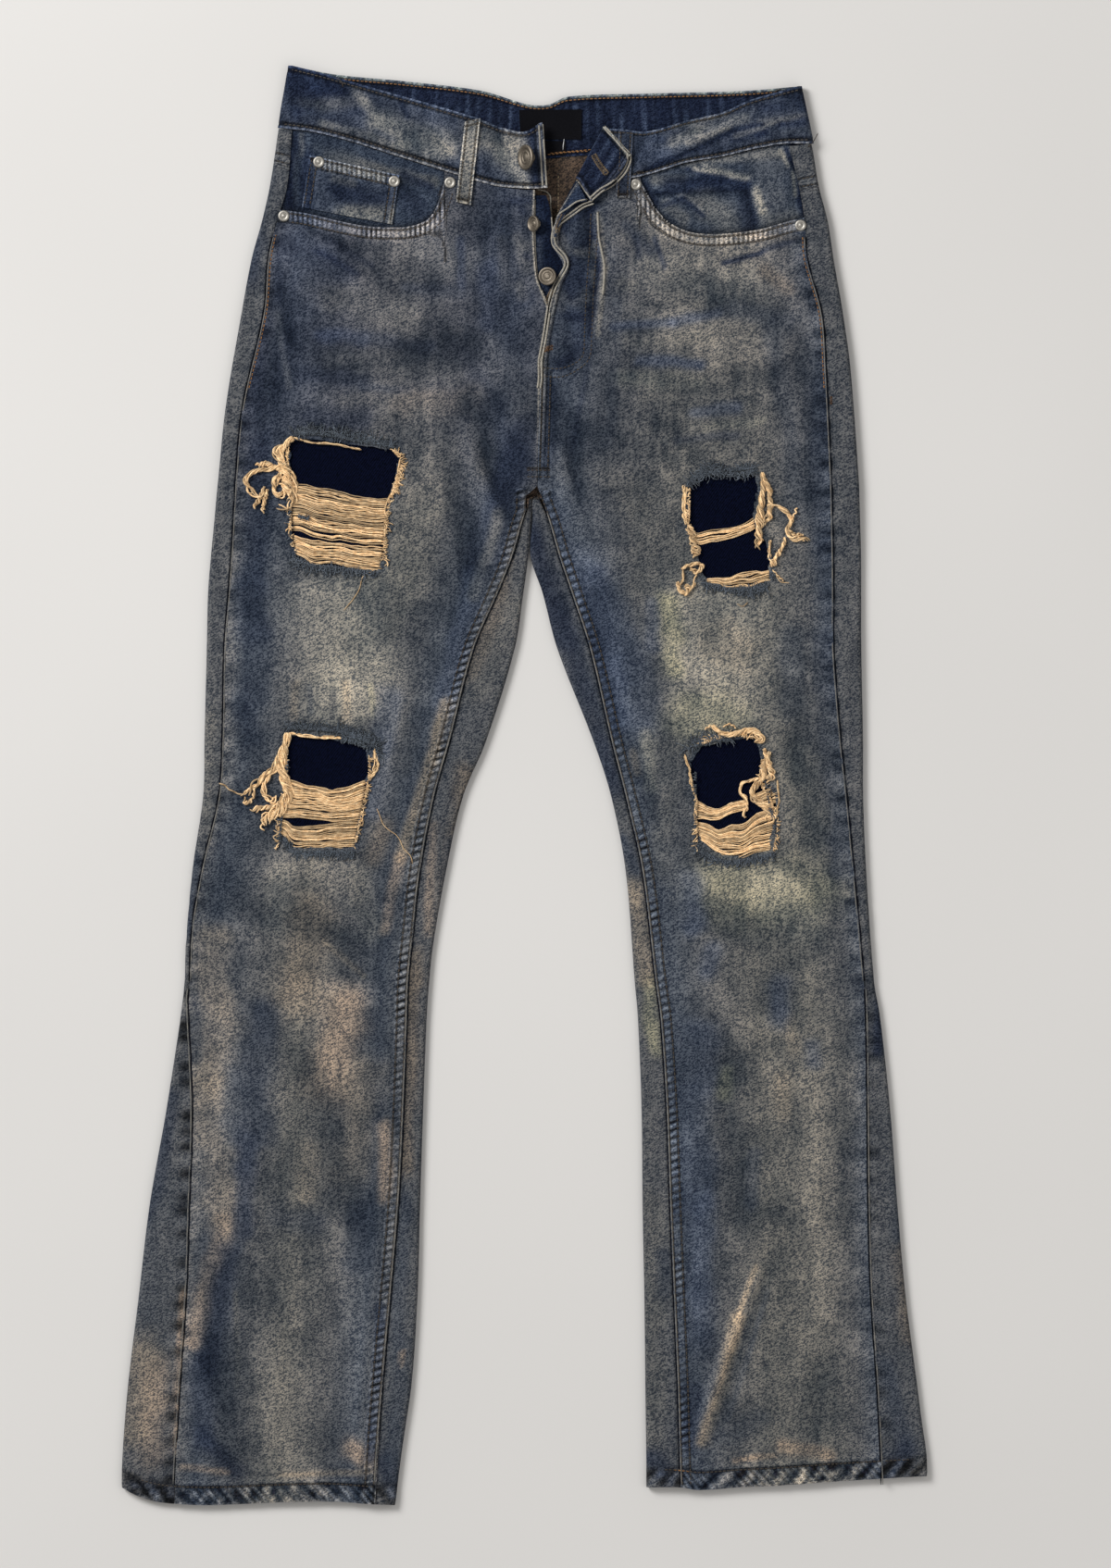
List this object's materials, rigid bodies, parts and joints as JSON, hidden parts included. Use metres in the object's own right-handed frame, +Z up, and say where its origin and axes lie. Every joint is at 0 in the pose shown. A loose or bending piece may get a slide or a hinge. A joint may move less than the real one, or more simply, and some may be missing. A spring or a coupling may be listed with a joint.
{
  "type": "ripped jeans",
  "caption": "Washed indigo five-pocket jeans with ripped thighs and knees, laid flat face up with the button fly open and the waistband end turned back.",
  "frame": {"origin": "centre of the bounding box on the surface that the jeans lie on", "axes": "+Y runs from the hems to the waist, +X to the wearer's left, +Z up through the front of the jeans"},
  "size_m": [0.617, 1.1033, 0.0277],
  "materials": {
    "washed_denim": "stone-washed indigo twill with worn ridges",
    "dark_denim": "unfaded indigo twill",
    "bare_weft": "bare beige cotton weft",
    "woven_label": "black woven satin",
    "metal_trim": "aged nickel plate"
  },
  "bodies": {
    "root": {"back_panel_left": "washed_denim", "back_panel_right": "washed_denim", "back_pocket_left": "washed_denim", "back_pocket_right": "washed_denim", "belt_loop_1": "washed_denim", "belt_loop_2": "washed_denim", "belt_loop_3": "washed_denim", "belt_loop_4": "washed_denim", "belt_loop_5": "washed_denim", "coin_pocket": "washed_denim", "fly_button_1": "metal_trim", "fly_button_2": "metal_trim", "fly_button_3": "metal_trim", "fly_facing": "washed_denim", "fly_shield": "dark_denim", "front_panel_left": "washed_denim", "front_panel_right": "washed_denim", "label_main": "woven_label", "label_size": "woven_label", "pocket_facing_left": "dark_denim", "pocket_facing_right": "dark_denim", "rip_patch_1": "dark_denim", "rip_patch_2": "dark_denim", "rip_patch_3": "dark_denim", "rip_patch_4": "dark_denim", "rip_tuft_1": "bare_weft", "rip_tuft_2": "bare_weft", "rip_tuft_3": "bare_weft", "rip_tuft_4": "bare_weft", "rip_tuft_5": "bare_weft", "rip_weft_1_lower": "bare_weft", "rip_weft_1_upper": "bare_weft", "rip_weft_2_lower": "bare_weft", "rip_weft_2_upper": "bare_weft", "rip_weft_3_lower": "bare_weft", "rip_weft_3_upper": "bare_weft", "rip_weft_4_lower": "bare_weft", "rip_weft_4_upper": "bare_weft", "rivet_1": "metal_trim", "rivet_2": "metal_trim", "rivet_3": "metal_trim", "rivet_4": "metal_trim", "rivet_5": "metal_trim", "rivet_6": "metal_trim", "waist_button": "metal_trim", "waistband": "washed_denim", "yoke_left": "washed_denim", "yoke_right": "washed_denim"}
  },
  "joints": []
}
